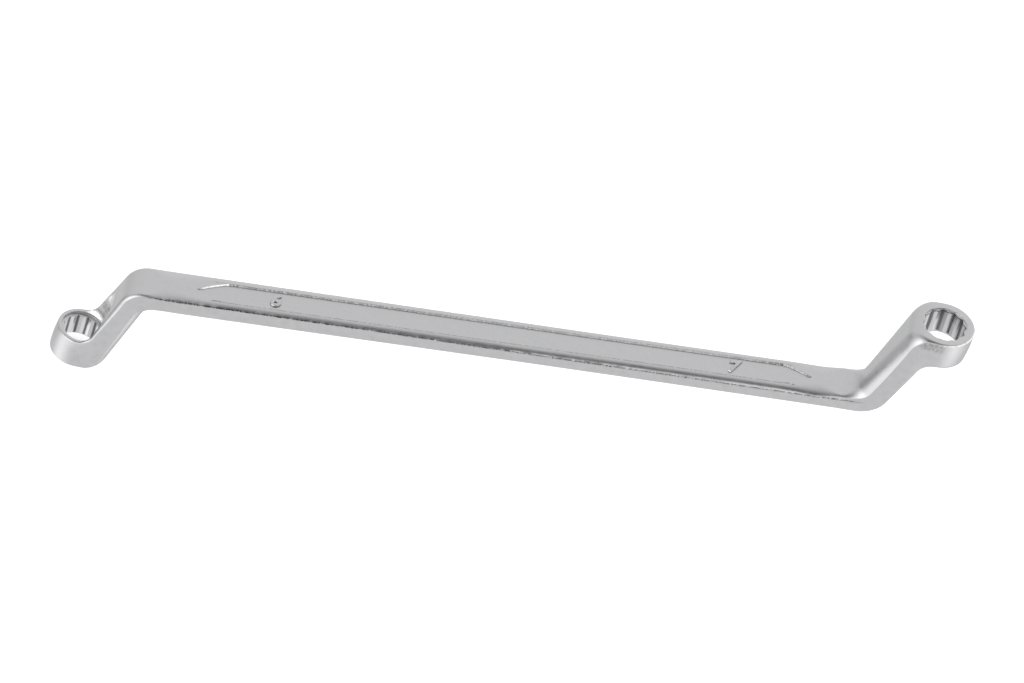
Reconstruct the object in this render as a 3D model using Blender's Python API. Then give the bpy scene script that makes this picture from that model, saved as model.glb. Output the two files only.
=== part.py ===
# Double-ended ring spanner with deep-offset rings, drop forged in one piece.
# Metres. +Z lies along both ring axes, +X runs from the small ring to the large
# ring, and the origin is under the middle of the outer box, with z = 0 on the
# nut face of the small ring.

import math

import bmesh
import bpy
from mathutils import Vector

MM = 0.001

# Sockets, measured across flats
SMALL_FLATS = 6.05 * MM
LARGE_FLATS = 7.05 * MM
SOCKET_POINTS = 12
HEX_SIDES = 6
NUT_LEAD_WIDTH = 0.4 * MM
NUT_LEAD_DEPTH = 0.3 * MM
SPOT_LEAD_WIDTH = 0.27 * MM
SPOT_LEAD_DEPTH = 0.7 * MM

# Rings
SMALL_OUTER = 10.0 * MM
LARGE_OUTER = 11.3 * MM
SMALL_HEIGHT = 5.5 * MM
LARGE_HEIGHT = 5.8 * MM
RIM_ROUND = 0.4 * MM
WALL_BULGE = 0.12 * MM
WALL_DRAFT = 0.35 * MM

# Machined spot face round each socket on the side of the ring that faces the shank
SMALL_SPOT_OUTER = 7.96 * MM
LARGE_SPOT_OUTER = 9.2 * MM
SPOT_DEPTH = 0.1 * MM
SPOT_FILLET = 0.12 * MM

# Cranked necks
SMALL_NECK = 16.9 * MM
LARGE_NECK = 19.0 * MM
SMALL_REACH = 3.05 * MM
LARGE_REACH = 3.4 * MM
SMALL_NECK_THICK = 5.0 * MM
LARGE_NECK_THICK = 5.4 * MM
NECK_ROUND = 2.6 * MM
ROUND_SHARE = 1.0
NECK_TO_RING = math.radians(72.0)
BEND_HOLLOW = 3.5 * MM
BEND_OUTSIDE = 6.5 * MM
RING_HOLLOW = 1.2 * MM
RING_OUTSIDE = 3.7 * MM

# Shank
SHANK_SPAN = 132.4 * MM
SHANK_LEAN = math.radians(9.5)
SHANK_WIDTH = 7.7 * MM
SHANK_THICK = 3.35 * MM
EDGE_ROUND = 0.55 * MM
FACE_CROWN = 0.12 * MM

# Leaf-ended recess in each broad face of the shank
RECESS_LENGTH = 114.0 * MM
RECESS_WIDTH = 4.7 * MM
RECESS_DEPTH = 0.3 * MM
RECESS_LEAF = 10.0 * MM

OVERRUN = 2.0 * MM
HALF = 0.5

# Facet counts
ROUND_STEPS = 4
WALL_STEPS = 3
BEND_STEPS = 8
NECK_STEPS = 4
TURN_STEPS = 2
FAN_STEPS = 18
CIRCLE_STEPS = 72
LEAF_STEPS = 8


def clear_scene():
    for item in list(bpy.data.objects):
        bpy.data.objects.remove(item, do_unlink=True)


def ease(share):
    share = min(max(share, 0.0), 1.0)
    return share * share * (3.0 - 2.0 * share)


def between(start, end, share):
    return start + (end - start) * share


def meet(point, along, other, other_along):
    cross = along.x * other_along.y - along.y * other_along.x
    gap = other - point
    reach = (gap.x * other_along.y - gap.y * other_along.x) / cross
    return point + along * reach


def rounded_corner(before, corner, after, radius, steps):
    back = (before - corner).normalized()
    ahead = (after - corner).normalized()
    half = back.angle(ahead) / 2.0
    middle = corner + (back + ahead).normalized() * (radius / math.sin(half))
    start = corner + back * (radius / math.tan(half)) - middle
    sweep = start.angle_signed(corner + ahead * (radius / math.tan(half)) - middle)
    points = []
    for step in range(steps + 1):
        turn = -sweep * step / steps
        cos, sin = math.cos(turn), math.sin(turn)
        points.append(middle + Vector((start.x * cos - start.y * sin, start.x * sin + start.y * cos)))
    return points


class RingEnd:
    """One end seen from the side: a socket ring, its neck and half of the shank.

    Side view points are (x, z) from the corner where the neck leaves the shank,
    for the end whose ring lies above the shank.
    """

    def __init__(self, name, flats, outer, height, spot, neck, reach, thick, turn):
        self.name = name
        self.flats = flats
        self.radius = outer / 2.0
        self.height = height
        self.spot = spot / 2.0
        self.turn = turn
        self.thick = thick
        self.rise = Vector((math.cos(NECK_TO_RING), math.sin(NECK_TO_RING)))
        self.centre = self.rise * neck + Vector((reach, 0.0))

    def side_corners(self, sign):
        run = Vector((math.cos(SHANK_LEAN), math.sin(SHANK_LEAN)))
        level = Vector((1.0, 0.0))
        shank_off = Vector((-run.y, run.x)) * (sign * SHANK_THICK / 2.0)
        neck_off = Vector((-self.rise.y, self.rise.x)) * (sign * self.thick / 2.0)
        face = self.centre + Vector((0.0, sign * self.height / 2.0))
        middle = shank_off - run * (SHANK_SPAN / 2.0)
        return middle, meet(shank_off, run, neck_off, self.rise), meet(neck_off, self.rise, face, level), face

    def ribs(self):
        """Pairs of side view points (back, front) from the start of the bend to the ring centre."""
        back = self.side_corners(1.0)
        front = self.side_corners(-1.0)
        back_bend = rounded_corner(back[0], back[1], back[2], BEND_HOLLOW, BEND_STEPS)
        front_bend = rounded_corner(front[0], front[1], front[2], BEND_OUTSIDE, BEND_STEPS)
        back_turn = rounded_corner(back[1], back[2], back[3], RING_OUTSIDE, BEND_STEPS)
        front_turn = rounded_corner(front[1], front[2], front[3], RING_HOLLOW, BEND_STEPS)
        pairs = list(zip(back_bend, front_bend))
        self.bend_end = len(pairs)
        for step in range(1, NECK_STEPS):
            share = step / NECK_STEPS
            pairs.append((between(back_bend[-1], back_turn[0], share), between(front_bend[-1], front_turn[0], share)))
        pairs += list(zip(back_turn, front_turn))
        for step in range(1, TURN_STEPS + 1):
            share = step / TURN_STEPS
            pairs.append((between(back_turn[-1], back[3], share), between(front_turn[-1], front[3], share)))
        return pairs

    def rows(self):
        """Half sections as (base, along, plan direction, [(out, down), ...])."""
        pairs = self.ribs()
        mids = [(back + front) / 2.0 for back, front in pairs]
        runs = [0.0]
        for ahead, behind in zip(reversed(mids[1:]), reversed(mids[:-1])):
            runs.append(runs[-1] + (ahead - behind).length)
        runs.reverse()
        neck_run = runs[self.bend_end]
        shank_run = runs[0]
        rows = []
        for (back, front), run in zip(pairs, runs):
            width = between(self.radius, SHANK_WIDTH / 2.0, ease(run / shank_run))
            on_ring = ease((neck_run - run) / neck_run)
            on_neck = ease((shank_run - run) / (shank_run - neck_run))
            bulge = WALL_BULGE * on_ring
            # The nut face narrows on its way to the neck, whose edges are rounded off much wider.
            neck_round = between(RIM_ROUND, NECK_ROUND, ease(run / (ROUND_SHARE * self.radius)))
            back_round = between(EDGE_ROUND, neck_round, on_neck)
            front_round = between(EDGE_ROUND, RIM_ROUND, on_ring)
            draft = WALL_DRAFT * on_ring
            crown = FACE_CROWN * ease((run - self.radius) / self.radius)
            length = (front - back).length
            points = half_section(length, width, back_round, front_round, bulge, draft, crown)
            rows.append((back, (front - back).normalized(), Vector((0.0, 1.0)), points))
        back, along, _, points = rows[-1]
        for step in range(1, FAN_STEPS + 1):
            turn = math.pi / 2.0 * (1.0 - step / FAN_STEPS)
            rows.append((back, along, Vector((math.cos(turn), math.sin(turn))), points))
        return rows


def half_section(length, width, back_round, front_round, bulge, draft, crown):
    """Outline of half a cross-section, from the middle of the back to the middle of the front."""
    points = []
    wall = width - bulge
    flat = wall - back_round
    points.append((0.0, -crown))
    points.append((flat / 2.0, -crown * 0.75))
    for step in range(ROUND_STEPS + 1):
        turn = math.pi / 2.0 * step / ROUND_STEPS
        points.append((flat + back_round * math.sin(turn), back_round * (1.0 - math.cos(turn))))
    for step in range(1, WALL_STEPS):
        share = step / WALL_STEPS
        down = between(back_round, length - front_round, share)
        points.append((wall - draft * share + bulge * (1.0 - (2.0 * share - 1.0) ** 2), down))
    flat = wall - draft - front_round
    for step in range(ROUND_STEPS + 1):
        turn = math.pi / 2.0 * step / ROUND_STEPS
        points.append((flat + front_round * math.cos(turn), length - front_round * (1.0 - math.sin(turn))))
    points.append((flat / 2.0, length + crown * 0.75))
    points.append((0.0, length + crown))
    return points


SMALL = RingEnd(
    "small", SMALL_FLATS, SMALL_OUTER, SMALL_HEIGHT, SMALL_SPOT_OUTER,
    SMALL_NECK, SMALL_REACH, SMALL_NECK_THICK, -1.0,
)
LARGE = RingEnd(
    "large", LARGE_FLATS, LARGE_OUTER, LARGE_HEIGHT, LARGE_SPOT_OUTER,
    LARGE_NECK, LARGE_REACH, LARGE_NECK_THICK, 1.0,
)
SPAN = Vector((math.cos(SHANK_LEAN), math.sin(SHANK_LEAN))) * SHANK_SPAN


def small_corner():
    """Row frame place of the corner where the small end's neck leaves the shank."""
    left = -SMALL.centre.x - SMALL.radius
    right = SPAN.x + LARGE.centre.x + LARGE.radius
    bottom = -SMALL.centre.y - SMALL.height / 2.0
    return Vector((-(left + right) / 2.0, -bottom))


def end_corner(end):
    corner = small_corner()
    if end is LARGE:
        corner = corner + SPAN
    return corner


def ring_centre(end):
    place = end_corner(end) + end.centre * end.turn
    return Vector((place.x, 0.0, place.y))


def row_points(end, row, side):
    base, along, plan, points = row
    corner = end_corner(end)
    placed = []
    for out, down in points:
        x = base.x + along.x * down + plan.x * out
        z = base.y + along.y * down
        placed.append(Vector((corner.x + end.turn * x, side * plan.y * out, corner.y + end.turn * z)))
    if end is SMALL:
        placed.reverse()
    return placed


def add_object(name, mesh_source):
    mesh = bpy.data.meshes.new(name)
    bmesh.ops.recalc_face_normals(mesh_source, faces=mesh_source.faces)
    mesh_source.to_mesh(mesh)
    mesh_source.free()
    item = bpy.data.objects.new(name, mesh)
    bpy.context.scene.collection.objects.link(item)
    return item


def forging_blank():
    small_rows = list(reversed(SMALL.rows()))
    large_rows = LARGE.rows()
    source = bmesh.new()
    shared = {}

    def vertex(point):
        key = tuple(round(value / (MM * MM)) for value in point)
        if key not in shared:
            shared[key] = source.verts.new(point)
        return shared[key]

    for side in (1.0, -1.0):
        grid = [row_points(SMALL, row, side) for row in small_rows]
        grid += [row_points(LARGE, row, side) for row in large_rows]
        for first, second in zip(grid[:-1], grid[1:]):
            for step in range(len(first) - 1):
                corners = []
                for point in (first[step], first[step + 1], second[step + 1], second[step]):
                    found = vertex(point)
                    if found not in corners:
                        corners.append(found)
                if len(corners) > 2:
                    source.faces.new(corners)
    return add_object("forged_spanner", source)


def closed_stack(name, loops):
    """Solid through a stack of loops with the same number of points."""
    source = bmesh.new()
    rings = [[source.verts.new(point) for point in loop] for loop in loops]
    for lower, upper in zip(rings[:-1], rings[1:]):
        count = len(lower)
        for step in range(count):
            ahead = (step + 1) % count
            source.faces.new((lower[step], lower[ahead], upper[ahead], upper[step]))
    source.faces.new(list(reversed(rings[0])))
    source.faces.new(rings[-1])
    item = add_object(name, source)
    item.hide_render = True
    item.display_type = "WIRE"
    return item


def circle_loop(centre, radius, height):
    loop = []
    for step in range(CIRCLE_STEPS):
        turn = 2.0 * math.pi * (step + HALF) / CIRCLE_STEPS
        loop.append(centre + Vector((radius * math.cos(turn), radius * math.sin(turn), height)))
    return loop


def socket_loop(centre, flats, height):
    """Outline of two hexagons turned by half a side from each other."""
    tip = flats / 2.0 / math.cos(math.pi / HEX_SIDES)
    root = flats / 2.0 / math.cos(math.pi / SOCKET_POINTS)
    loop = []
    for step in range(2 * SOCKET_POINTS):
        radius = root if step % 2 else tip
        turn = math.pi * step / SOCKET_POINTS
        loop.append(centre + Vector((radius * math.cos(turn), radius * math.sin(turn), height)))
    return loop


def socket_cutters(end):
    """Through socket, its two lead-in cones and the spot face of one ring."""
    centre = ring_centre(end)
    half = end.height / 2.0
    tip = end.flats / 2.0 / math.cos(math.pi / HEX_SIDES)
    up = end.turn
    through = [socket_loop(centre, end.flats, -half - OVERRUN), socket_loop(centre, end.flats, half + OVERRUN)]
    cutters = [closed_stack(end.name + "_socket_cutter", through)]

    slope = NUT_LEAD_WIDTH / NUT_LEAD_DEPTH
    wide = tip + NUT_LEAD_WIDTH + OVERRUN * slope
    narrow = end.flats / 2.0 - NUT_LEAD_WIDTH
    deep = half - (tip + NUT_LEAD_WIDTH - narrow) / slope
    nut_lead = [circle_loop(centre, narrow, up * deep), circle_loop(centre, wide, up * (half + OVERRUN))]
    cutters.append(closed_stack(end.name + "_nut_lead_cutter", nut_lead))

    slope = SPOT_LEAD_WIDTH / SPOT_LEAD_DEPTH
    face = half - SPOT_DEPTH
    wide = tip + SPOT_LEAD_WIDTH + SPOT_FILLET * slope
    deep = face - (tip + SPOT_LEAD_WIDTH - narrow) / slope
    spot_lead = [circle_loop(centre, narrow, -up * deep), circle_loop(centre, wide, -up * (face + SPOT_FILLET))]

    spot_face = []
    for step in range(ROUND_STEPS + 1):
        turn = math.pi / 2.0 * step / ROUND_STEPS
        radius = end.spot - SPOT_FILLET * (1.0 - math.sin(turn))
        height = face + SPOT_FILLET * (1.0 - math.cos(turn))
        spot_face.append(circle_loop(centre, radius, -up * height))
    spot_face.append(circle_loop(centre, end.spot, -up * (half + end.centre.y)))
    cutters.append(closed_stack(end.name + "_spot_face_cutter", spot_face))
    cutters.append(closed_stack(end.name + "_spot_lead_cutter", spot_lead))
    return cutters


def leaf_outline():
    """Recess outline along and across the shank: two long sides that close in arcs to a point."""
    half_width = RECESS_WIDTH / 2.0
    arc = (RECESS_LEAF ** 2 + half_width ** 2) / (2.0 * half_width)
    start = RECESS_LENGTH / 2.0 - RECESS_LEAF
    upper = []
    for step in range(LEAF_STEPS):
        along = RECESS_LEAF * step / LEAF_STEPS
        across = half_width - arc + math.sqrt(arc ** 2 - along ** 2)
        upper.append((start + along, across))
    tip = (RECESS_LENGTH / 2.0, 0.0)
    right = [(along, -across) for along, across in upper] + [tip]
    right += list(reversed(upper))
    left = [(-along, across) for along, across in upper] + [(-tip[0], 0.0)]
    left += [(-along, -across) for along, across in reversed(upper)]
    return right + left


def recess_cutter(name, side):
    run = Vector((math.cos(SHANK_LEAN), 0.0, math.sin(SHANK_LEAN)))
    out = Vector((-run.z, 0.0, run.x)) * side
    across = Vector((0.0, 1.0, 0.0))
    corner = small_corner()
    middle = Vector((corner.x, 0.0, corner.y)) + run * (SHANK_SPAN / 2.0)
    floor = SHANK_THICK / 2.0 + FACE_CROWN - RECESS_DEPTH
    loops = []
    for height in (floor, SHANK_THICK / 2.0 + OVERRUN):
        loops.append([middle + run * along + across * wide + out * height for along, wide in leaf_outline()])
    return closed_stack(name, loops)


def cut(item, cutter, solver):
    step = item.modifiers.new(cutter.name, "BOOLEAN")
    step.operation = "DIFFERENCE"
    step.solver = solver
    step.object = cutter


def satin_chrome():
    material = bpy.data.materials.new("satin chrome plated steel")
    material.use_nodes = True
    shader = material.node_tree.nodes["Principled BSDF"]
    shader.inputs["Base Color"].default_value = (0.56, 0.56, 0.57, 1.0)
    shader.inputs["Metallic"].default_value = 1.0
    shader.inputs["Roughness"].default_value = 0.38
    material.diffuse_color = (0.56, 0.56, 0.57, 1.0)
    return material


def build():
    clear_scene()
    spanner = forging_blank()
    spanner.data.materials.append(satin_chrome())
    for cutter in (recess_cutter("upper_recess_cutter", 1.0), recess_cutter("lower_recess_cutter", -1.0)):
        cut(spanner, cutter, "EXACT")
    # The fine steps between the points of a socket are too small for the exact solver.
    for cutter in socket_cutters(SMALL) + socket_cutters(LARGE):
        cut(spanner, cutter, "MANIFOLD")


build()
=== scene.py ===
"""Looks of a double-ended ring spanner, satin chrome plated, on a pale studio floor.

Metres throughout. +Z lies along both ring axes and +X runs from the small ring
to the large ring. The shank frame has its origin in the middle of the shank and
leans with it: X runs along the shank, and Z stands on the broad face that is seen
from above.
"""

import math

import bmesh
import bpy
from mathutils import Matrix, Vector, noise


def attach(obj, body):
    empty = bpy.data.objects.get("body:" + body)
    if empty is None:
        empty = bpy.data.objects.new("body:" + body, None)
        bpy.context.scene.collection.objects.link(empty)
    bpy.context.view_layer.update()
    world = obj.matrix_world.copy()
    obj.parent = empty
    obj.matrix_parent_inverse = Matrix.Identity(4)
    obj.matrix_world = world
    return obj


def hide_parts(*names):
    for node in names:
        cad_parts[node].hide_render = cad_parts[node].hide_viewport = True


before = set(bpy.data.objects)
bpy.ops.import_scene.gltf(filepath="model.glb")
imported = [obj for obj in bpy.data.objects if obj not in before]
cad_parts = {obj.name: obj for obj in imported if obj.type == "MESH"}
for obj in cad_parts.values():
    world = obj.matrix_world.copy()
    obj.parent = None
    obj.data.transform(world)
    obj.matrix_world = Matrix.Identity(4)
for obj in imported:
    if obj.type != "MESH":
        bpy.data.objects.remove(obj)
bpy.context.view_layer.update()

MM = 0.001
HALF_PI = math.pi / 2.0

# Shank
SHANK_SPAN = 132.4 * MM
SHANK_LEAN = math.radians(9.5)
SHANK_THICK = 3.35 * MM
SHANK_HALF = 3.93 * MM
LEAN = Matrix.Rotation(-SHANK_LEAN, 4, "Y")

# Level at which the flash was trimmed, below each broad face
UPPER_TRIM_LEFT = 0.32 * MM
UPPER_TRIM_RIGHT = 0.85 * MM
LOWER_TRIM = 0.5 * MM
TRIM_REACH = 70.0 * MM

# The broad faces fall away to the trim level in part of a curve, which falls by about CROWN_FALL
# over CROWN_SHARE of its width. Past the recess they are crowned almost to the middle.
CROWN_START = 52.0 * MM
CROWN_RUN = 11.0 * MM
CROWN_FLAT = 0.6 * MM
CROWN_SHARE = 0.97
CROWN_FALL = 0.745

# Leaf-ended recess in each broad face
RECESS_LENGTH = 112.4 * MM
RECESS_HALF = 2.4 * MM
RECESS_DEPTH = 0.3 * MM
RECESS_LEAF = 5.6 * MM
RECESS_WAVER = 0.05 * MM

# Necks and rings
NECK_TO_RING = math.radians(72.0)
NECK_HALF = 3.85 * MM
BACK_BEND = 3.5 * MM
BACK_TURN = 3.7 * MM
EDGE_ROUND = 0.55 * MM
RIM_ROUND = 0.4 * MM
WALL_BULGE = 0.12 * MM
WALL_DRAFT = 0.35 * MM
CREASE_SWEEP = math.radians(66.0)
SHANK_TO_NECK = 5.0 * MM

# Sockets: a point every 30 degrees, with a ridge half way to the next
POINT_PITCH = math.radians(30.0)
BROACH_ROUND = 0.03 * MM
INSIDE_BORE = 0.4 * MM
OVERRUN = 2.0 * MM
MILL_NOSE = 3.2 * MM
# Depth under the rim of the large socket down to which painted shade is kept apart
RIM_SHADE_BAND = 0.62 * MM

# Size numbers stand this far across the recess
NUMBER_ACROSS = -0.1 * MM

# Steps of the skin, of the milled bowl, of small round corners and of the recess walls
TOP_STEPS = 8
ROUND_STEPS = 10
WALL_STEPS = 14
SHANK_ROWS = 210
BEND_STEPS = 22
NECK_ROWS = 16
RING_ROWS = 4
FAN_STEPS = 60
NOSE_STEPS = 12
CORNER_STEPS = 5
RECESS_STATIONS = 480
SMOOTH_ANGLE = math.radians(28.0)

# Studio: the soft patches of the tent, each with a strength, the azimuth and elevation of its
# middle in degrees, and how tightly it is gathered there. A strength below 0 shades the tent.
WHITE = (1.0, 1.0, 1.0, 1.0)
TENT_LEVEL = 0.81
TENT_PATCHES = (
    (2.0, 321.0, 16.0, 5.0),
    (1.30, 97.0, -22.0, 2.25),
    (0.8, 288.0, -46.0, 13.0),
    (0.35, 62.0, -43.0, 20.0),
    (0.19, 168.0, 27.0, 1.8),
    (-0.4, 252.0, -12.0, 14.0),
    (1.5, 22.0, 9.0, 14.0),
    (-0.63, 320.0, 64.0, 3.6),
    (-0.9, 346.0, 27.0, 4.2),
    (-1.03, 113.0, -31.0, 2.55),
)
PICTURE_WIDTH = 1024.0
PICTURE_HEIGHT = 683.0
SENSOR_WIDTH = 36.0


def ease(share):
    share = min(max(share, 0.0), 1.0)
    return share * share * (3.0 - 2.0 * share)


def between(start, end, share):
    return start + (end - start) * share


# The body


def meet(point, along, other, other_along):
    """Where two lines in a plane cross."""
    cross = along.x * other_along.y - along.y * other_along.x
    gap = other - point
    return point + along * ((gap.x * other_along.y - gap.y * other_along.x) / cross)


def rounded_corner(before, corner, after, radius, steps):
    """Points on the arc that rounds a corner between two straight sides."""
    back = (before - corner).normalized()
    ahead = (after - corner).normalized()
    half = back.angle(ahead) / 2.0
    middle = corner + (back + ahead).normalized() * (radius / math.sin(half))
    start = corner + back * (radius / math.tan(half)) - middle
    sweep = start.angle_signed(corner + ahead * (radius / math.tan(half)) - middle)
    points = []
    for step in range(steps + 1):
        turn = -sweep * step / steps
        cos, sin = math.cos(turn), math.sin(turn)
        spoke = Vector((start.x * cos - start.y * sin, start.x * sin + start.y * cos))
        points.append(middle + spoke)
    return points


class RingEnd:
    """One end in side view, from the middle of the shank to the ring centre.

    Points are (x, z) from the corner where the neck leaves the shank, for the end
    whose ring lies above the shank; turn is -1 for the other end, which is turned
    over. The back is the side with the nut face, the front the one with the hollow.
    """

    def __init__(self, flats, outer, height, neck, reach, thick, turn, rounds, edge, rim,
                 proud, bend, hollow, star, lead, dish):
        # Socket: width across flats, turn of its points, width of the lead-in, and the
        # width, depth, slope and foot of the dish on the nut side
        self.flats = flats
        self.tip = flats / 2.0 / math.cos(math.pi / 6.0)
        self.ridge = flats / 2.0 / math.cos(POINT_PITCH / 2.0)
        self.star = star
        self.lead = lead
        self.dish = dish
        # Ring: radius, height, and how far its front face stands proud
        self.radius = outer / 2.0
        self.height = height
        self.proud = proud
        # Neck: thickness, radii of the front bend and hollow, and rounds of its edges
        self.thick = thick
        self.bend = bend
        self.hollow = hollow
        self.rounds = rounds
        self.edge = edge
        self.rim = rim
        self.turn = turn
        self.rise = Vector((math.cos(NECK_TO_RING), math.sin(NECK_TO_RING)))
        self.centre = self.rise * neck + Vector((reach, 0.0))

    def side_corners(self, sign):
        """Outline of the back (1) or front (-1): shank middle, bend, turn, ring face."""
        run = Vector((math.cos(SHANK_LEAN), math.sin(SHANK_LEAN)))
        shank_off = Vector((-run.y, run.x)) * (sign * SHANK_THICK / 2.0)
        neck_off = Vector((-self.rise.y, self.rise.x)) * (sign * self.thick / 2.0)
        rise = self.height / 2.0 if sign > 0.0 else self.height / 2.0 + self.proud
        face = self.centre + Vector((0.0, sign * rise))
        middle = shank_off - run * (SHANK_SPAN / 2.0)
        level = Vector((1.0, 0.0))
        bend = meet(shank_off, run, neck_off, self.rise)
        return middle, bend, meet(neck_off, self.rise, face, level), face

    def ribs(self):
        """Pairs of points on the back and the front, close together along the end."""
        back = self.side_corners(1.0)
        front = self.side_corners(-1.0)
        back_bend = rounded_corner(back[0], back[1], back[2], BACK_BEND, BEND_STEPS)
        front_bend = rounded_corner(front[0], front[1], front[2], self.bend, BEND_STEPS)
        back_turn = rounded_corner(back[1], back[2], back[3], BACK_TURN, BEND_STEPS)
        # The hollow under the ring runs on past the ring centre, so it is followed only up to there
        beyond = front[2] + Vector((MM, 0.0))
        hollow_end = rounded_corner(front[1], front[2], beyond, self.hollow, 1)
        self.hollow_past = hollow_end[1].x - self.centre.x
        start = hollow_end[0]
        middle = Vector((hollow_end[1].x, front[3].y - self.hollow))
        first = (start - middle).angle_signed(Vector((0.0, 1.0)))
        last = math.asin(max(self.hollow_past, 0.0) / self.hollow)
        front_turn = []
        hollow_steps = BEND_STEPS + RING_ROWS
        for step in range(hollow_steps + 1):
            turn = between(first, last, step / hollow_steps)
            front_turn.append(middle + Vector((-math.sin(turn), math.cos(turn))) * self.hollow)
        pairs = []
        for step in range(SHANK_ROWS):
            share = step / SHANK_ROWS
            pairs.append((
                between(back[0], back_bend[0], share), between(front[0], front_bend[0], share),
            ))
        self.bend_start = len(pairs)
        pairs += list(zip(back_bend, front_bend))
        self.bend_end = len(pairs)
        for step in range(1, NECK_ROWS):
            share = step / NECK_ROWS
            pairs.append((
                between(back_bend[-1], back_turn[0], share),
                between(front_bend[-1], front_turn[0], share),
            ))
        for step in range(1, RING_ROWS + 1):
            back_turn.append(between(back_turn[BEND_STEPS], back[3], step / RING_ROWS))
        pairs += list(zip(back_turn, front_turn))
        return pairs

    def hollow_lift(self, past):
        """How far the hollow stands below the ring face, at a distance past the ring centre."""
        reach = min(max(self.hollow_past - past, 0.0), self.hollow)
        return self.hollow - math.sqrt(self.hollow ** 2 - reach ** 2)

    def rows(self):
        """Half sections along the end: back point, way to the front, way out, points."""
        pairs = self.ribs()
        mids = [(back + front) / 2.0 for back, front in pairs]
        runs = [0.0]
        for ahead, behind in zip(reversed(mids[1:]), reversed(mids[:-1])):
            runs.append(runs[-1] + (ahead - behind).length)
        runs.reverse()
        neck_run = runs[self.bend_end]
        bend_run = runs[self.bend_start]
        rows = []
        for (back, front), run in zip(pairs, runs):
            along = (runs[0] - run) * self.turn
            width = between(self.radius, NECK_HALF, ease(run / bend_run))
            on_ring = ease((neck_run - run) / neck_run)
            on_neck = ease((bend_run - run) / (bend_run - neck_run))
            on_shank = ease((run - bend_run) / SHANK_TO_NECK)
            neck_round = between(RIM_ROUND, self.rounds, ease(run / self.radius))
            round_back = between(EDGE_ROUND, neck_round, on_neck)
            round_front = between(between(EDGE_ROUND, self.edge, on_neck), self.rim, on_ring)
            length = (front - back).length
            smooth_edge = neck_section(length, width, round_back, round_front, on_ring)
            forged_edge = shank_section(length, along)
            points = [
                between(Vector(smooth), Vector(forged), on_shank)
                for smooth, forged in zip(smooth_edge, forged_edge)
            ]
            rows.append((back, (front - back).normalized(), Vector((0.0, 1.0)), points))
        # A quarter turn round the far side of the ring, where the hollow runs out
        back, down, _, points = rows[-1]
        length = points[-1][1]
        for step in range(1, FAN_STEPS + 1):
            turn = HALF_PI * (1.0 - step / FAN_STEPS)
            plan = Vector((math.cos(turn), math.sin(turn)))
            fanned = []
            for out, drop in points:
                ease_off = self.hollow_lift(0.0) - self.hollow_lift(plan.x * out)
                fanned.append((out, drop - ease_off * drop / length))
            rows.append((back, down, plan, fanned))
        return rows


def neck_section(length, width, back_round, front_round, on_ring):
    """Half outline from the middle of the back to the middle of the front.

    The rounded edges meet the side walls in a faint crease, where the dies parted.
    """
    bulge = WALL_BULGE * on_ring
    draft = WALL_DRAFT * on_ring
    wall = width - bulge
    points = []
    for step in range(TOP_STEPS):
        points.append(((wall - back_round) * step / TOP_STEPS, 0.0))
    for step in range(ROUND_STEPS + 1):
        turn = CREASE_SWEEP * step / ROUND_STEPS
        out = math.sin(turn) / math.sin(CREASE_SWEEP)
        points.append((
            wall - back_round + back_round * out, back_round * (1.0 - math.cos(turn)),
        ))
    back_fall = points[-1][1]
    front_fall = front_round * (1.0 - math.cos(CREASE_SWEEP))
    for step in range(1, WALL_STEPS):
        share = step / WALL_STEPS
        swell = bulge * (1.0 - (2.0 * share - 1.0) ** 2)
        points.append((
            wall - draft * share + swell, between(back_fall, length - front_fall, share),
        ))
    flat = wall - draft - front_round
    for step in range(ROUND_STEPS + 1):
        turn = CREASE_SWEEP * (1.0 - step / ROUND_STEPS)
        out = math.sin(turn) / math.sin(CREASE_SWEEP)
        points.append((flat + front_round * out, length - front_round * (1.0 - math.cos(turn))))
    for step in range(TOP_STEPS - 1, -1, -1):
        points.append((flat * step / TOP_STEPS, length))
    return points


def trim_drop(along):
    """How far below the upper face the flash was trimmed, which changes along the shank."""
    share = ease((along + TRIM_REACH) / (2.0 * TRIM_REACH))
    return between(UPPER_TRIM_LEFT, UPPER_TRIM_RIGHT, share)


def shank_section(length, along):
    """Half outline of the shank: broad faces that fall away to the trimmed sides."""
    upper = trim_drop(along)
    past = ease((abs(along) - CROWN_START) / CROWN_RUN)
    flat = between(RECESS_HALF + 0.1 * MM, CROWN_FLAT, past)
    lower_power = 2.6
    power = between(lower_power, 2.0, past)
    points = []
    for step in range(TOP_STEPS):
        points.append((flat * step / TOP_STEPS, 0.0))
    for step in range(ROUND_STEPS + 1):
        share = math.sin(HALF_PI * step / ROUND_STEPS)
        fall = 1.0 - math.sqrt(max(0.0, 1.0 - (CROWN_SHARE * share) ** power))
        points.append((between(flat, SHANK_HALF, share), upper * fall / CROWN_FALL))
    for step in range(1, WALL_STEPS):
        share = step / WALL_STEPS
        points.append((SHANK_HALF, between(upper, length - LOWER_TRIM, share)))
    for step in range(ROUND_STEPS, -1, -1):
        share = math.sin(HALF_PI * step / ROUND_STEPS)
        points.append((
            between(flat, SHANK_HALF, share), length - LOWER_TRIM * share ** lower_power,
        ))
    for step in range(TOP_STEPS - 1, -1, -1):
        points.append((flat * step / TOP_STEPS, length))
    return points


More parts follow.
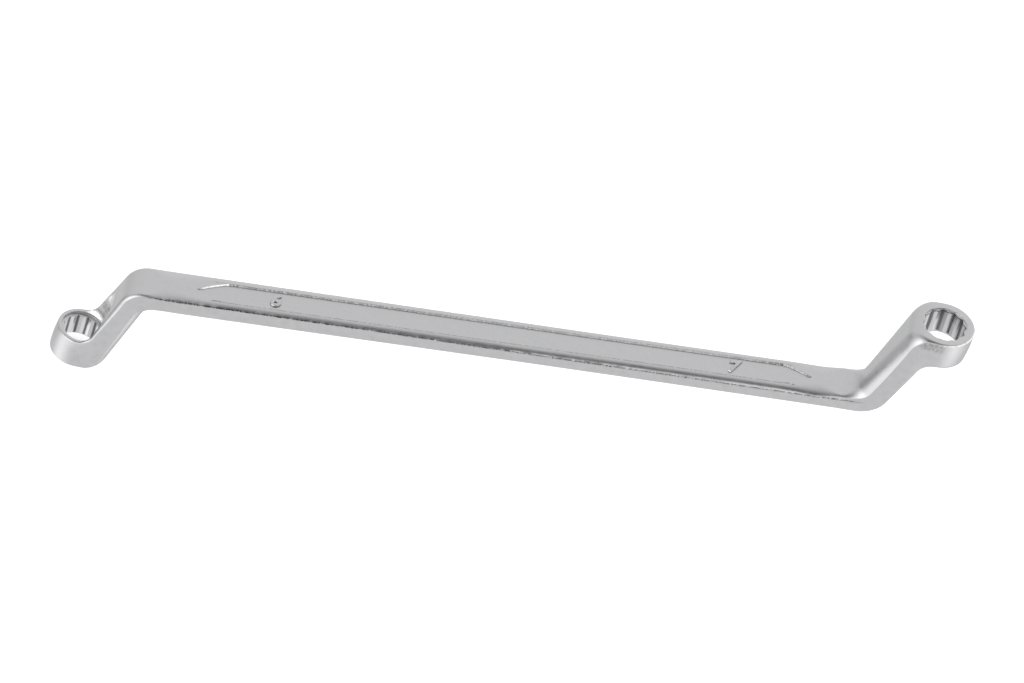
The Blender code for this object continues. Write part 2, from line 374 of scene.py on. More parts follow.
SMALL = RingEnd(
    flats=6.05 * MM, outer=10.0 * MM, height=5.5 * MM, neck=16.9 * MM, reach=3.05 * MM,
    thick=5.0 * MM, turn=-1.0, rounds=2.6 * MM, edge=1.1 * MM, rim=0.25 * MM,
    proud=0.3 * MM, bend=4.8 * MM, hollow=2.8 * MM,
    star=math.radians(-11.3), lead=0.3 * MM, dish=(0.6 * MM, 0.75 * MM, 1.0, 0.0),
)
LARGE = RingEnd(
    flats=7.05 * MM, outer=11.3 * MM, height=5.8 * MM, neck=19.0 * MM, reach=3.4 * MM,
    thick=5.4 * MM, turn=1.0, rounds=3.3 * MM, edge=0.55 * MM, rim=0.4 * MM,
    proud=0.35 * MM, bend=6.0 * MM, hollow=3.4 * MM,
    star=math.radians(10.5), lead=0.25 * MM, dish=(0.05 * MM, 0.3 * MM, 0.05, 0.02 * MM),
)
SPAN = Vector((math.cos(SHANK_LEAN), math.sin(SHANK_LEAN))) * SHANK_SPAN
SMALL_CORNER = Vector((
    (SMALL.centre.x + SMALL.radius - SPAN.x - LARGE.centre.x - LARGE.radius) / 2.0,
    SMALL.centre.y + SMALL.height / 2.0,
))
SHANK_MIDDLE = Vector((SMALL_CORNER.x + SPAN.x / 2.0, 0.0, SMALL_CORNER.y + SPAN.y / 2.0))
SHANK_FRAME = Matrix.Translation(SHANK_MIDDLE) @ LEAN


def end_corner(end):
    return SMALL_CORNER if end is SMALL else SMALL_CORNER + SPAN


def ring_centre(end):
    place = end_corner(end) + end.centre * end.turn
    return Vector((place.x, 0.0, place.y))


def from_ring(end, point):
    """A point as seen from the ring centre, and its distance from the ring axis."""
    away = point - ring_centre(end)
    return away, math.hypot(away.x, away.y)


def row_points(end, row, side):
    """A half section in its place, on one side of the spanner's middle plane."""
    base, down_way, plan, points = row
    corner = end_corner(end)
    placed = []
    for out, down in points:
        x = corner.x + end.turn * (base.x + down_way.x * down + plan.x * out)
        z = corner.y + end.turn * (base.y + down_way.y * down)
        placed.append(Vector((x, side * plan.y * out, z)))
    if end is SMALL:
        placed.reverse()
    return placed


def select_only(item):
    bpy.ops.object.select_all(action="DESELECT")
    bpy.context.view_layer.objects.active = item
    item.select_set(True)


def add_object(name, source):
    mesh = bpy.data.meshes.new(name)
    source.to_mesh(mesh)
    source.free()
    item = bpy.data.objects.new(name, mesh)
    bpy.context.scene.collection.objects.link(item)
    return item


def forging():
    """The forging as a skin over close ribs, because no operator gives its cranked neck."""
    small_rows = list(reversed(SMALL.rows()))
    large_rows = LARGE.rows()[1:]
    source = bmesh.new()
    for side in (1.0, -1.0):
        grid = [row_points(SMALL, row, side) for row in small_rows]
        grid += [row_points(LARGE, row, side) for row in large_rows]
        skin = [[source.verts.new(point) for point in row] for row in grid]
        for first, second in zip(skin[:-1], skin[1:]):
            for step in range(len(first) - 1):
                corners = (first[step], first[step + 1], second[step + 1], second[step])
                source.faces.new(corners)
    bmesh.ops.remove_doubles(source, verts=source.verts, dist=0.0005 * MM)
    bmesh.ops.dissolve_degenerate(source, edges=source.edges, dist=0.0002 * MM)
    bmesh.ops.recalc_face_normals(source, faces=source.faces)
    return add_object("spanner_body", source)


def rag(body):
    """Trimming the flash leaves a ragged lip where the broad face meets the side."""
    reach, inner, fade_run = 66.0 * MM, 3.3 * MM, 4.0 * MM
    lip, coarse_tear, fine_tear, across = 0.2 * MM, 1.4 * MM, 0.5 * MM, 3.0 * MM
    to_shank = SHANK_FRAME.inverted()
    for vertex in body.data.vertices:
        place = to_shank @ vertex.co
        if abs(place.x) > reach or abs(place.y) < inner:
            continue
        edge = SHANK_THICK / 2.0 - trim_drop(place.x)
        near = max(0.0, 1.0 - abs(place.z - edge) / lip)
        fade = ease((reach - abs(place.x)) / fade_run)
        coarse = noise.noise(Vector((place.x / coarse_tear, place.y / across, 3.0)))
        fine = noise.noise(Vector((place.x / fine_tear, place.y / across, 9.0)))
        out = math.copysign(1.0, place.y) * (0.04 + 0.08 * coarse + 0.16 * fine) * MM
        up = (0.1 * coarse - 0.14 * fine) * MM
        # The far side was trimmed more cleanly
        far = 0.3 if place.y > 0.0 else 1.0
        shift = Vector((0.0, out, up)) * (near * fade * far)
        vertex.co = SHANK_FRAME @ (place + shift)


# Marks that the colour of the plate follows: above 0 it is darker, and below 0 whiter. Most of them
# are painted shade and painted highlights.


def in_bore(end, face):
    away, out = from_ring(end, face.center)
    upright = abs(face.normal.z) < 0.2
    return upright and out < end.tip + 0.02 * MM and abs(away.z) < end.height


def split_bore(body, end, height):
    """A slice round the bore a little under its rim, so that the band at the rim can take its
    painted shade alone.
    """
    select_only(body)
    bpy.ops.object.mode_set(mode="EDIT")
    bpy.ops.mesh.select_mode(type="FACE")
    bpy.ops.mesh.select_all(action="DESELECT")
    bpy.ops.object.mode_set(mode="OBJECT")
    for face in body.data.polygons:
        face.select = in_bore(end, face)
    level = ring_centre(end) + Vector((0.0, 0.0, height))
    bpy.ops.object.mode_set(mode="EDIT")
    bpy.ops.mesh.bisect(plane_co=level, plane_no=(0.0, 0.0, 1.0))
    bpy.ops.mesh.select_mode(type="VERT")
    bpy.ops.object.mode_set(mode="OBJECT")


def mark_torn_and_painted_shade(body):
    """The trim line, dark partly from ragged steel and partly from painted shade, painted shade
    along the edges of the recess, and a patch of painted dark reflection on the large ring.
    """
    to_shank = SHANK_FRAME.inverted()
    torn_and_painted_shade = body.data.attributes.new("torn_and_painted_shade", "FLOAT", "POINT").data
    recess_reach = RECESS_LENGTH / 2.0 - 3.0 * MM
    trim_end, trim_inner, fade_run = 67.0 * MM, 3.2 * MM, 4.0 * MM
    for vertex in body.data.vertices:
        place = to_shank @ vertex.co
        # Painted shade along the edges of the recess, darker on the near side
        by_edge = abs(abs(place.y) - RECESS_HALF - 0.11 * MM) < 0.1 * MM
        on_face = abs(place.z) > SHANK_THICK / 2.0 - 0.02 * MM
        if by_edge and on_face and abs(place.x) < recess_reach:
            torn_and_painted_shade[vertex.index].value = 0.3 if place.y > 0.0 else 0.75
        if abs(place.x) > trim_end or abs(place.y) < trim_inner:
            continue
        # The trim line runs lower on the far side and widens to the right; its dark is partly
        # ragged steel and partly painted shade
        lowered = 0.03 * MM if place.y < 0.0 else 0.2 * MM
        edge = SHANK_THICK / 2.0 - trim_drop(place.x) - lowered
        reach = between(0.11 * MM, 0.17 * MM, ease((place.x + 30.0 * MM) / (60.0 * MM)))
        near = ease(1.4 - abs(place.z - edge) / reach)
        torn_and_painted_shade[vertex.index].value = near * ease((trim_end - abs(place.x)) / fade_run)
    # A speckled patch of painted dark reflection under the near rim of the large ring
    aside, up, half_wide, half_high = -1.5 * MM, 1.7 * MM, 1.2 * MM, 0.6 * MM
    for vertex in body.data.vertices:
        away, _ = from_ring(LARGE, vertex.co)
        wide = ease(2.2 - abs(away.x - aside) / half_wide)
        high = ease(2.0 - abs(away.z - up) / half_high)
        if away.y < -4.5 * MM and wide * high > 0.0:
            torn_and_painted_shade[vertex.index].value = 0.42 * wide * high


def recess_wall_painted_light(place):
    """Painted shade along the straight walls; the left leaf has a painted highlight and the right
    one painted shade.
    """
    straight = RECESS_LENGTH / 2.0 - RECESS_LEAF
    toward = ease((place.x + 60.0 * MM) / (120.0 * MM))
    if abs(place.x) >= straight:
        return between(-1.0, 0.5, toward)
    return between(0.65, 0.3, toward) + 0.6 * ease((place.x - straight) / (6.0 * MM) + 1.0)


def ring_wall_painted_light(end, face):
    """Painted highlights and painted shade in the milled bowl, and painted highlights on the rim
    and step of the large ring.
    """
    away, out = from_ring(end, face.center)
    past = -away.z * end.turn - end.height / 2.0 - end.proud
    mark = None
    # Painted highlight along the near edge of the large ring's nut face
    if end is LARGE and away.x > 0.3 * MM and away.y < 0.0 and 0.2 < face.normal.z < 0.85:
        if end.radius - 1.2 * MM < out < end.radius + 0.2 * MM and away.z > 0.0:
            mark = -0.9
    if abs(face.normal.z) > 0.9:
        return mark
    # Bowl: painted shade where it meets the ring on the near side, and painted highlights
    # elsewhere, brightest on the far side
    if end.tip + end.lead + 0.02 * MM < out < end.radius - 0.5 * MM and 0.0 < past < 5.0 * MM:
        if away.y < -0.25 * end.radius and past < 1.6 * MM:
            return 0.7
        return -1.0 if away.y > 0.35 * end.radius else -0.3
    # Painted highlight on the step round the points of the large socket, but for its left part
    if end is LARGE and end.tip < out < end.tip + 0.1 * MM and away.z > 0.0:
        return -1.0 if away.x > -0.4 * MM else 0.0
    return mark


def paint_light_on_walls(body):
    """Painted shade and painted highlights on the walls of the recess, the milled bowls and the
    large ring's rim, face by face.
    """
    to_shank = SHANK_FRAME.inverted()
    walls = body.data.attributes.new("walls", "FLOAT", "FACE").data
    for face in body.data.polygons:
        place = to_shank @ face.center
        lean = (to_shank.to_3x3() @ face.normal).z
        in_reach = abs(place.y) < RECESS_HALF + 0.3 * MM and abs(place.x) < RECESS_LENGTH / 2.0 + MM
        in_depth = abs(place.z) > SHANK_THICK / 2.0 - 1.2 * RECESS_DEPTH
        if in_reach and in_depth and abs(lean) < 0.7:
            walls[face.index].value = recess_wall_painted_light(place)
        for end in (SMALL, LARGE):
            mark = ring_wall_painted_light(end, face)
            if mark is not None:
                walls[face.index].value = mark


def mark_point_dullness_and_shade(body):
    """Dull plate and painted shade in the points of the sockets: from 0 on the ridges to 1 in the
    points, and more painted shade along the rim of the large socket.
    """
    point_dullness_and_shade = body.data.attributes.new("point_dullness_and_shade", "FLOAT", "POINT").data
    rim_shade_depth = 0.4 * MM
    for end in (SMALL, LARGE):
        for vertex in body.data.vertices:
            away, out = from_ring(end, vertex.co)
            in_star = end.ridge - 0.02 * MM < out < end.tip + 0.01 * MM
            if not in_star or abs(away.z) >= end.height:
                continue
            if end is LARGE and away.z > end.height / 2.0 - rim_shade_depth:
                point_dullness_and_shade[vertex.index].value = 1.9
            else:
                point_dullness_and_shade[vertex.index].value = max(0.0, (out - end.ridge) / (end.tip - end.ridge))


# Cutters


def turned_cutter(name, centre, up, profile):
    """A turned solid, from a circle that is extruded and resized along (radius, height) steps."""
    bpy.ops.object.select_all(action="DESELECT")
    first_radius, first_height = profile[0]
    bpy.ops.mesh.primitive_circle_add(
        vertices=144, radius=first_radius, fill_type="NGON",
        location=centre + Vector((0.0, 0.0, up * first_height)),
    )
    cutter = bpy.context.active_object
    cutter.name = name
    bpy.ops.object.mode_set(mode="EDIT")
    bpy.ops.mesh.select_all(action="SELECT")
    for (radius, height), (ahead_radius, ahead_height) in zip(profile[:-1], profile[1:]):
        step = (0.0, 0.0, up * (ahead_height - height))
        bpy.ops.mesh.extrude_region_move(TRANSFORM_OT_translate={"value": step})
        grow = ahead_radius / radius
        bpy.ops.transform.resize(value=(grow, grow, 1.0))
    bpy.ops.mesh.select_all(action="SELECT")
    bpy.ops.mesh.normals_make_consistent(inside=False)
    bpy.ops.object.mode_set(mode="OBJECT")
    return cutter


def hexagon_cutter(name, centre, end, turn):
    """One of the two hexagons of the socket, its corners a little rounded by the broach."""
    bpy.ops.object.select_all(action="DESELECT")
    bpy.ops.mesh.primitive_cylinder_add(
        vertices=6, radius=end.tip, depth=3.0 * end.height, location=centre,
        rotation=(0.0, 0.0, turn),
    )
    cutter = bpy.context.active_object
    cutter.name = name
    bpy.ops.object.mode_set(mode="EDIT")
    bpy.ops.mesh.select_all(action="DESELECT")
    bpy.ops.object.mode_set(mode="OBJECT")
    for edge in cutter.data.edges:
        ends = [cutter.data.vertices[index].co for index in edge.vertices]
        edge.select = abs(ends[0].z - ends[1].z) > MM
    bpy.ops.object.mode_set(mode="EDIT")
    bpy.ops.mesh.select_mode(type="EDGE")
    bpy.ops.mesh.bevel(offset=BROACH_ROUND, segments=2, affect="EDGES")
    bpy.ops.mesh.select_mode(type="VERT")
    bpy.ops.object.mode_set(mode="OBJECT")
    return cutter


def rounded(start, corner, toward, radius):
    """Points of a turned profile's rounded corner, where toward only gives the way on from it."""
    arc = rounded_corner(Vector(start), Vector(corner), Vector(toward), radius, CORNER_STEPS)
    return [tuple(point) for point in arc]


def nut_side_profile(end):
    """A wide countersink on the small ring, a shallow step round the points on the large one."""
    half = end.height / 2.0
    low = end.flats / 2.0 - INSIDE_BORE
    out, down, slope, beyond = end.dish
    lip = (end.tip + out, half)
    foot = (end.tip + beyond, half - down)
    profile = [(low, foot[1] - (foot[0] - low) * slope)]
    if end is LARGE:
        profile.append(foot)
    lip_round = 0.04 * MM
    profile += rounded(foot, lip, (lip[0] + MM, half), lip_round)
    run_out = lip[0] + 0.45 * MM
    profile += [(run_out, half + 0.02 * MM), (run_out, half + OVERRUN)]
    return profile


def shank_side_profile(end):
    """A nearly straight lead-in, then the bowl that a round-nosed mill leaves in the neck."""
    half = end.height / 2.0
    low = end.flats / 2.0 - INSIDE_BORE
    # The mill takes a hair off the face, so that no two faces lie on each other
    hair, lead_depth, slope, lip_round = 0.03 * MM, 0.6 * MM, 0.3, 0.06 * MM
    face = half + end.proud - hair
    lip = (end.tip + end.lead, -face)
    drop = face - lead_depth
    foot = (lip[0] - hair, -drop)
    profile = [(low, (end.tip - low) * slope - drop), foot]
    profile += rounded(foot, lip, (lip[0] + MM, -face), lip_round)
    spot = end.radius - 0.55 * MM
    first = math.acos((lip[0] + 0.1 * MM - spot + MILL_NOSE) / MILL_NOSE)
    for step in range(NOSE_STEPS + 1):
        turn = first * (1.0 - step / NOSE_STEPS)
        profile.append((
            spot - MILL_NOSE + MILL_NOSE * math.cos(turn),
            -face - MILL_NOSE * (math.sin(first) - math.sin(turn)),
        ))
    profile.append((spot, -(half + end.centre.y)))
    return profile


def socket_cutters(end, name):
    centre = ring_centre(end)
    cutters = []
    for step in range(2):
        turn = end.star + POINT_PITCH * step
        cutters.append(hexagon_cutter(f"{name}_hexagon_{step}", centre, end, turn))
    cutters.append(turned_cutter(name + "_nut_side", centre, end.turn, nut_side_profile(end)))
    cutters.append(turned_cutter(name + "_shank_side", centre, end.turn, shank_side_profile(end)))
    return cutters


def recess_cutter(name, side):
    """A shell over three outlines with leaf-shaped ends, floor, floor edge and mouth.

    It is mesh code because its walls waver over their whole length, which no operator gives.
    """
    floor = SHANK_THICK / 2.0 - RECESS_DEPTH
    reach = RECESS_LENGTH / 2.0
    levels = (
        (floor, -0.06 * MM),
        (floor + 0.08 * MM, 0.0),
        (SHANK_THICK / 2.0 + 1.0 * MM, 0.45 * MM),
    )
    leaf_power, tear_size, tip_width = 1.25, 0.5 * MM, 0.8 * MM
    source = bmesh.new()
    loops = []
    for height, grow in levels:
        loop = []
        for wall in (1.0, -1.0):
            for step in range(RECESS_STATIONS):
                along = between(-reach, reach, step / RECESS_STATIONS) * wall
                into = max(0.0, abs(along) - (reach - RECESS_LEAF))
                wide = RECESS_HALF * (1.0 - (into / RECESS_LEAF) ** leaf_power)
                tear = noise.noise(Vector((along / tear_size, wall * 7.0, side * 5.0)))
                toward_tip = min(1.0, wide / tip_width)
                wide += grow * toward_tip + RECESS_WAVER * tear * toward_tip
                point = Vector((along, wall * max(wide, 0.0), side * height))
                loop.append(source.verts.new(SHANK_FRAME @ point))
        loops.append(loop)
    for lower, upper in zip(loops[:-1], loops[1:]):
        count = len(lower)
        for step in range(count):
            ahead = (step + 1) % count
            source.faces.new((lower[step], lower[ahead], upper[ahead], upper[step]))
    source.faces.new(loops[0])
    source.faces.new(loops[-1])
    bmesh.ops.recalc_face_normals(source, faces=source.faces)
    return add_object(name, source)


def cut_away(body, cutters):
    for cutter in cutters:
        select_only(body)
        step = body.modifiers.new(cutter.name, "BOOLEAN")
        step.operation = "DIFFERENCE"
        step.solver = "MANIFOLD"
        step.object = cutter
        bpy.ops.object.modifier_apply(modifier=step.name)
        bpy.data.objects.remove(cutter, do_unlink=True)


# Size numbers


def number_painted_light(face, up):
    """Painted shade on the sides that face forward or along the shank, painted highlights on the
    other slopes.
    """
    lean = face.normal.dot(up)
    if lean < 0.3 and face.normal.y < 0.0:
        return 0.6
    if lean < 0.8 and abs(face.normal.x) > 0.3 and face.normal.y > -0.5:
        return 0.4
    return -1.0 if lean < 0.95 else 0.0


def size_number(text, along, name):
    """A raised, slanted size number on the recess floor."""
    bpy.ops.object.select_all(action="DESELECT")
    bpy.ops.object.text_add()
    number = bpy.context.active_object
    number.name = name
    number.data.body = text
    number.data.size = 4.1 * MM
    number.data.offset = -0.03 * MM
    number.data.shear = 0.08
    number.data.align_x = "CENTER"
    number.data.align_y = "CENTER"
    number.data.extrude = 0.1 * MM
    number.data.bevel_depth = 0.2 * MM
    number.data.bevel_resolution = 2
    number.data.resolution_u = 8
    select_only(number)
    bpy.ops.object.convert(target="MESH")
    floor = SHANK_THICK / 2.0 - RECESS_DEPTH
    place = SHANK_FRAME @ Matrix.Translation(Vector((along, NUMBER_ACROSS, floor)))
    number.data.transform(place)
    up = place.to_3x3() @ Vector((0.0, 0.0, 1.0))
    # Painted shade and painted highlights on the sides and bevels of the number
    walls = number.data.attributes.new("walls", "FLOAT", "FACE").data
    for face in number.data.polygons:
        walls[face.index].value = number_painted_light(face, up)
    bpy.ops.object.mode_set(mode="EDIT")
    bpy.ops.mesh.select_all(action="SELECT")
    bpy.ops.mesh.remove_doubles(threshold=0.001 * MM)
    bpy.ops.mesh.normals_make_consistent(inside=False)
    bpy.ops.object.mode_set(mode="OBJECT")
    return number


# Finish


def linear(code):
    """A colour written as sRGB hex, as the linear values that a shader takes."""
    channels = []
    for start in (0, 2, 4):
        value = int(code[start:start + 2], 16) / 255.0
        channels.append(value / 12.92 if value <= 0.04045 else ((value + 0.055) / 1.055) ** 2.4)
    return (*channels, 1.0)


def add_node(tree, kind, settings=None, values=None, links=None):
    """One node with its settings, its socket values and what feeds it."""
    node = tree.nodes.new(kind)
    for key, value in (settings or {}).items():
        setattr(node, key, value)
    for key, value in (values or {}).items():
        node.inputs[key].default_value = value
    for key, feed in (links or {}).items():
        tree.links.new(feed, node.inputs[key])
    return node


def plate_marks(tree, place, point_dulling_and_shade):
    """How dark and how white the plate is at each place, from the marks on the mesh, which hold
    ragged steel, dull plate, painted shade and painted highlights.
    """
    # Torn steel and painted shade are speckled dark over about 0.35 mm
    flecks = add_node(
        tree, "ShaderNodeTexNoise",
        values={"Scale": 1.0 / (0.35 * MM), "Detail": 3.0, "Roughness": 0.7},
        links={"Vector": place},
    )
    torn_and_painted_shade = add_node(tree, "ShaderNodeAttribute", {"attribute_name": "torn_and_painted_shade"})
    walls = add_node(tree, "ShaderNodeAttribute", {"attribute_name": "walls"})
    marked = add_node(
        tree, "ShaderNodeMath", {"operation": "MAXIMUM"},
        links={0: torn_and_painted_shade.outputs["Fac"], 1: walls.outputs["Fac"]},
    )
    fleck_share = add_node(
        tree, "ShaderNodeMapRange", {"interpolation_type": "SMOOTHSTEP"},
        {"From Min": 0.4, "From Max": 0.54, "To Min": 0.0, "To Max": 0.95},
        {"Value": flecks.outputs["Fac"]},
    )
    speckled = add_node(
        tree, "ShaderNodeMath", {"operation": "MULTIPLY"},
        links={0: fleck_share.outputs["Result"], 1: marked.outputs[0]},
    )
    # The broach leaves streaks of about 0.3 mm down the points, where the plate is thin and dull
    # and painted shade is added
    point_dullness_and_shade = add_node(tree, "ShaderNodeAttribute", {"attribute_name": "point_dullness_and_shade"})
    stretched = add_node(
        tree, "ShaderNodeMapping", values={"Scale": (1.0, 1.0, 0.04)}, links={"Vector": place},
    )
    streaks = add_node(
        tree, "ShaderNodeTexNoise",
        values={"Scale": 1.0 / (0.3 * MM), "Detail": 2.0},
        links={"Vector": stretched.outputs["Vector"]},
    )
    streaked = add_node(
        tree, "ShaderNodeMath", {"operation": "MULTIPLY_ADD"}, {1: 0.6},
        {0: streaks.outputs["Fac"], 2: point_dullness_and_shade.outputs["Fac"]},
    )
    dulled_and_shaded = add_node(
        tree, "ShaderNodeMapRange", {"interpolation_type": "SMOOTHSTEP"},
        {"From Min": 0.7, "From Max": 1.15, "To Min": 0.0, "To Max": point_dulling_and_shade},
        {"Value": streaked.outputs[0]},
    )
    dark = add_node(
        tree, "ShaderNodeMath", {"operation": "MAXIMUM"},
        links={0: speckled.outputs[0], 1: dulled_and_shaded.outputs["Result"]},
    )
    # Painted highlights are almost white between the flecks
    painted_highlight = add_node(
        tree, "ShaderNodeMapRange",
        values={"From Min": 0.0, "From Max": -1.0}, links={"Value": walls.outputs["Fac"]},
    )
    gaps = add_node(
        tree, "ShaderNodeMapRange",
        values={"From Min": 0.52, "From Max": 0.64, "To Min": 1.0, "To Max": 0.1},
        links={"Value": flecks.outputs["Fac"]},
    )
    clear = add_node(
        tree, "ShaderNodeMath", {"operation": "MULTIPLY"},
        links={0: painted_highlight.outputs["Result"], 1: gaps.outputs["Result"]},
    )
    return dark.outputs[0], clear.outputs[0]


def chrome_plate(name, rough_low, rough_high, grain_strength, point_dulling_and_shade):
    """Chrome plate on steel: a pale neutral grey that blurs what it mirrors.

    It has a fine grain and broad soft highlights. Torn steel and painted shade show in it as dark
    flecks, painted highlights as near white, and the points of the sockets as dull streaks with
    painted shade.
    """
    material = bpy.data.materials.new(name)
    material.use_nodes = True
    tree = material.node_tree
    tree.nodes.clear()
    output = add_node(tree, "ShaderNodeOutputMaterial")
    place = add_node(tree, "ShaderNodeTexCoord").outputs["Object"]
    # Blasting grit of about 0.1 mm, drawn at 0.25 mm so that it shows
    grain = add_node(
        tree, "ShaderNodeTexNoise",
        values={"Scale": 1.0 / (0.25 * MM), "Detail": 2.0, "Roughness": 0.6},
        links={"Vector": place},
    )
    # The forged skin under the plate swells over about 4 mm
    skin = add_node(
        tree, "ShaderNodeTexNoise",
        values={"Scale": 1.0 / (4.0 * MM), "Detail": 1.0}, links={"Vector": place},
    )
    # Its shine and its grey drift a little over about 1.3 mm
    mottle = add_node(
        tree, "ShaderNodeTexNoise",
        values={"Scale": 1.0 / (1.3 * MM), "Detail": 3.0}, links={"Vector": place},
    )
    rough = add_node(
        tree, "ShaderNodeMapRange",
        values={"From Min": 0.3, "From Max": 0.7, "To Min": rough_low, "To Max": rough_high},
        links={"Value": mottle.outputs["Fac"]},
    )
    tint = add_node(
        tree, "ShaderNodeMix", {"data_type": "RGBA"}, links={"Factor": mottle.outputs["Fac"]},
    )
    tint.inputs["A"].default_value = linear("BFBFC1")
    tint.inputs["B"].default_value = linear("CBCBCC")
    dark, clear = plate_marks(tree, place, point_dulling_and_shade)
    # Torn steel, dull plate and painted shade darken the plate
    colour = add_node(tree, "ShaderNodeMix", {"data_type": "RGBA"}, links={"Factor": dark})
    tree.links.new(tint.outputs["Result"], colour.inputs["A"])
    colour.inputs["B"].default_value = linear("4A4A4B")
    # Painted highlights, near white
    highlighted = add_node(tree, "ShaderNodeMix", {"data_type": "RGBA"}, links={"Factor": clear})
    tree.links.new(colour.outputs["Result"], highlighted.inputs["A"])
    highlighted.inputs["B"].default_value = linear("FAFAFA")
    swell = add_node(
        tree, "ShaderNodeBump",
        values={"Strength": 0.25, "Distance": 0.03 * MM}, links={"Height": skin.outputs["Fac"]},
    )
    matt = add_node(
        tree, "ShaderNodeBump",
        values={"Strength": grain_strength, "Distance": 0.08 * MM},
        links={"Height": grain.outputs["Fac"], "Normal": swell.outputs["Normal"]},
    )
    shader = add_node(tree, "ShaderNodeBsdfPrincipled", values={"Metallic": 1.0}, links={
        "Base Color": highlighted.outputs["Result"],
        "Roughness": rough.outputs["Result"],
        "Normal": matt.outputs["Normal"],
    })
    tree.links.new(shader.outputs["BSDF"], output.inputs["Surface"])
    return material


def pale_paper():
    """Pale paper that reads as white to the camera and keeps the soft shadow of the object."""
    material = bpy.data.materials.new("pale paper floor")
    material.use_nodes = True
    tree = material.node_tree
    tree.nodes.clear()
    output = add_node(tree, "ShaderNodeOutputMaterial")
    seen = add_node(tree, "ShaderNodeLightPath").outputs["Is Camera Ray"]
    paper = add_node(tree, "ShaderNodeBsdfDiffuse", values={"Color": linear("C4C4C4")})
    lift = add_node(tree, "ShaderNodeMath", {"operation": "MULTIPLY"}, {1: 0.8}, {0: seen})
    glow = add_node(
        tree, "ShaderNodeEmission", values={"Color": WHITE}, links={"Strength": lift.outputs[0]},
    )
    chosen = add_node(
        tree, "ShaderNodeAddShader",
        links={0: paper.outputs["BSDF"], 1: glow.outputs["Emission"]},
    )
    tree.links.new(chosen.outputs["Shader"], output.inputs["Surface"])
    return material


# Build the pieces

body = forging()
rag(body)
cut_away(body, [recess_cutter("upper_recess", 1.0), recess_cutter("lower_recess", -1.0)])
cut_away(body, socket_cutters(SMALL, "small") + socket_cutters(LARGE, "large"))
split_bore(body, LARGE, LARGE.height / 2.0 - RIM_SHADE_BAND)
mark_torn_and_painted_shade(body)
paint_light_on_walls(body)
mark_point_dullness_and_shade(body)
select_only(body)
bpy.ops.object.shade_smooth_by_angle(angle=SMOOTH_ANGLE)

six = size_number("6", -41.7 * MM, "size_six")
seven = size_number("7", 41.8 * MM, "size_seven")

# Matt on the outside of the forging, and brighter in the bores, which streak and darken with dull
# plate and painted shade
chrome = chrome_plate("satin chrome plate on forged steel", 0.26, 0.34, 0.3, 0.0)
broached = chrome_plate("bright chrome plate on broached steel", 0.18, 0.24, 0.1, 0.88)
for piece in (body, six, seven):
    piece.data.materials.clear()
    piece.data.materials.append(chrome)
    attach(piece, "root")
body.data.materials.append(broached)
for end in (SMALL, LARGE):
    for face in body.data.polygons:
        if in_bore(end, face):
            face.material_index = 1
for number in (six, seven):
    select_only(number)
    bpy.ops.object.shade_smooth_by_angle(angle=SMOOTH_ANGLE)
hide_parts("forged_spanner")

# Studio

bpy.ops.object.select_all(action="DESELECT")
bpy.ops.mesh.primitive_plane_add(size=6.0, location=(0.0, 0.0, -0.05 * MM))
floor = bpy.context.active_object
floor.name = "studio_floor"
floor.data.materials.append(pale_paper())
floor.visible_glossy = False


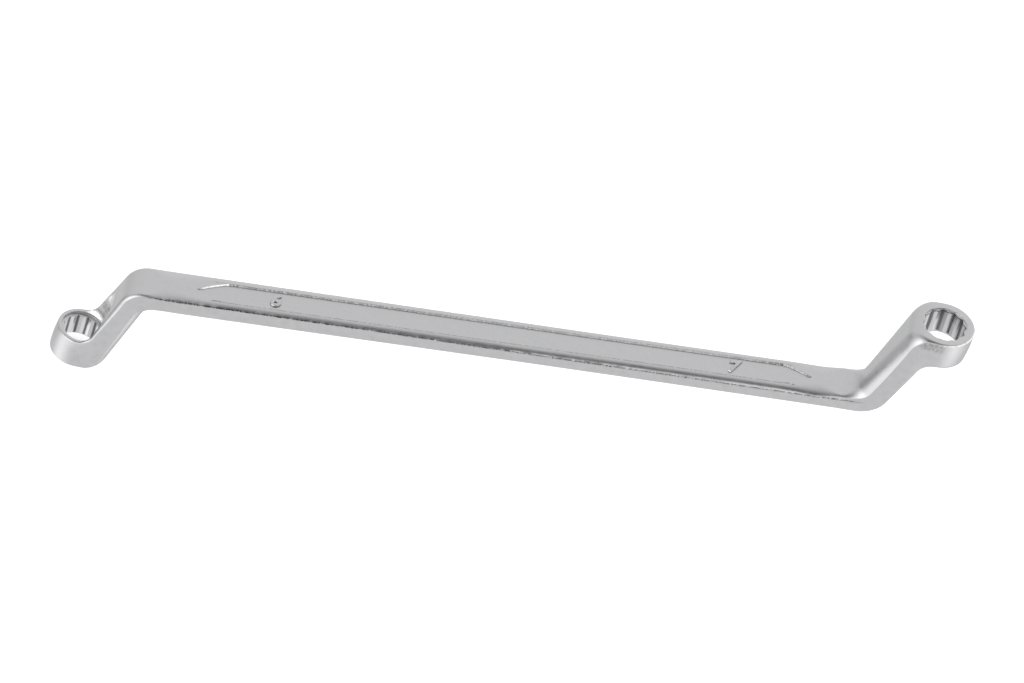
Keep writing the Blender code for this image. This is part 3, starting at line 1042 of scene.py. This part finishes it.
def white_tent():
    """A white tent, whose walls are seen as soft patches of light and shade."""
    world = bpy.data.worlds.new("white studio tent")
    bpy.context.scene.world = world
    world.use_nodes = True
    # The floor hides nothing from the chrome, so the tent is sampled by what the chrome mirrors
    world.cycles.sampling_method = "NONE"
    tree = world.node_tree
    tree.nodes.clear()
    output = add_node(tree, "ShaderNodeOutputWorld")
    way = add_node(tree, "ShaderNodeTexCoord").outputs["Generated"]
    level = None
    for strength, turn, rise, gathered in TENT_PATCHES:
        turn, rise = math.radians(turn), math.radians(rise)
        middle = (
            math.sin(turn) * math.cos(rise), -math.cos(turn) * math.cos(rise), math.sin(rise),
        )
        facing = add_node(
            tree, "ShaderNodeVectorMath", {"operation": "DOT_PRODUCT"}, {1: middle}, {0: way},
        )
        lit = add_node(
            tree, "ShaderNodeMath", {"operation": "MAXIMUM"}, {1: 0.0},
            {0: facing.outputs["Value"]},
        )
        soft = add_node(
            tree, "ShaderNodeMath", {"operation": "POWER"}, {1: gathered}, {0: lit.outputs[0]},
        )
        total = add_node(
            tree, "ShaderNodeMath", {"operation": "MULTIPLY_ADD"}, {1: strength, 2: TENT_LEVEL},
            {0: soft.outputs[0]},
        )
        if level:
            tree.links.new(level, total.inputs[2])
        level = total.outputs[0]
    tent = add_node(
        tree, "ShaderNodeBackground", values={"Color": WHITE}, links={"Strength": level},
    )
    backdrop = add_node(tree, "ShaderNodeBackground", values={"Color": WHITE, "Strength": 1.0})
    path = add_node(tree, "ShaderNodeLightPath")
    chosen = add_node(tree, "ShaderNodeMixShader", links={
        "Fac": path.outputs["Is Camera Ray"],
        1: tent.outputs["Background"],
        2: backdrop.outputs["Background"],
    })
    tree.links.new(chosen.outputs["Shader"], output.inputs["Surface"])


white_tent()


def studio_camera():
    """Angles, scale and aim that bring both rings and the shank where the view has them."""
    azimuth = math.radians(4.5383)
    elevation = math.radians(42.8173)
    roll = math.radians(5.0991)
    # Pixels per millimetre in the middle of the shank, its distance in mm and its picture point
    scale = 5.54291
    distance = 2394.14
    aim = (503.485, 339.762)
    back = Vector((
        math.sin(azimuth) * math.cos(elevation), -math.cos(azimuth) * math.cos(elevation),
        math.sin(elevation),
    ))
    level = Vector((math.cos(azimuth), math.sin(azimuth), 0.0))
    upright = back.cross(level)
    right = level * math.cos(roll) + upright * math.sin(roll)
    over = upright * math.cos(roll) - level * math.sin(roll)
    aside = right * ((aim[0] - PICTURE_WIDTH / 2.0) / scale)
    offset = aside - over * ((aim[1] - PICTURE_HEIGHT / 2.0) / scale)
    place = LEAN @ ((back * distance - offset) * MM)
    camera_data = bpy.data.cameras.new("studio_camera")
    camera = bpy.data.objects.new("studio_camera", camera_data)
    bpy.context.scene.collection.objects.link(camera)
    turned = Matrix((right, over, back)).transposed().to_4x4()
    camera.matrix_world = Matrix.Translation(SHANK_MIDDLE + place) @ LEAN @ turned
    camera_data.sensor_width = SENSOR_WIDTH
    camera_data.lens = scale * distance / PICTURE_WIDTH * SENSOR_WIDTH
    camera_data.clip_start = 0.01
    camera_data.clip_end = 100.0
    return camera


bpy.context.scene.camera = studio_camera()
bpy.context.scene.view_settings.view_transform = "Standard"
